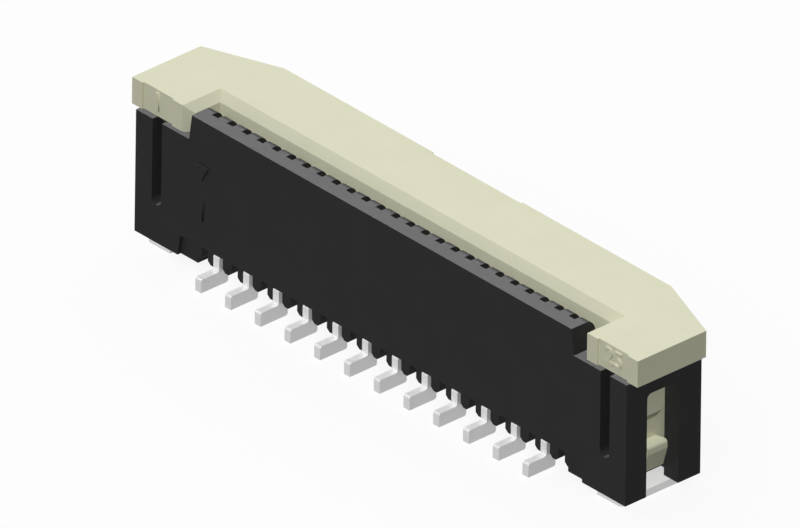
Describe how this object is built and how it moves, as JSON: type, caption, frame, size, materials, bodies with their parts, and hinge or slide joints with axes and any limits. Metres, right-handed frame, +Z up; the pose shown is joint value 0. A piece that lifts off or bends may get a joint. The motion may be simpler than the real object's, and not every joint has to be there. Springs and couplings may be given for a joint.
{
  "type": "fpc connector",
  "caption": "Upright surface-mount connector for a flat flexible cable: black housing, fork contacts with tails front and rear, fitting nails and a sliding ivory lock.",
  "frame": {"origin": "On the board, at the middle of the row of contacts along X and midway between the tips of the front tails and the rear of the slider along Y.", "axes": "+X along the row of contacts, -Y is the front with the low wall and the cable's entry seen from above, +Z is up, away from the board."},
  "size_m": [0.017, 0.0036, 0.0041],
  "materials": {
    "housing_plastic": "moulded heat-resistant nylon, matte black",
    "slider_plastic": "moulded heat-resistant nylon, natural ivory, matte",
    "contact_tin": "stamped copper alloy with matte tin plating",
    "nail_tin": "stamped copper alloy with matte tin plating"
  },
  "bodies": {
    "base": {"housing": "housing_plastic", "contact_01": "contact_tin", "contact_02": "contact_tin", "contact_03": "contact_tin", "contact_04": "contact_tin", "contact_05": "contact_tin", "contact_06": "contact_tin", "contact_07": "contact_tin", "contact_08": "contact_tin", "contact_09": "contact_tin", "contact_10": "contact_tin", "contact_11": "contact_tin", "contact_12": "contact_tin", "contact_13": "contact_tin", "contact_14": "contact_tin", "contact_15": "contact_tin", "contact_16": "contact_tin", "contact_17": "contact_tin", "contact_18": "contact_tin", "contact_19": "contact_tin", "contact_20": "contact_tin", "contact_21": "contact_tin", "contact_22": "contact_tin", "contact_23": "contact_tin", "contact_24": "contact_tin", "contact_25": "contact_tin", "fitting_nail_left": "nail_tin", "fitting_nail_right": "nail_tin"},
    "slider": {"slider": "slider_plastic"}
  },
  "joints": [
    {"name": "slider_lift", "type": "slide", "parent": "base", "child": "slider", "axis": [0, 0, 1], "range_m": [0, 0.0015]}
  ]
}
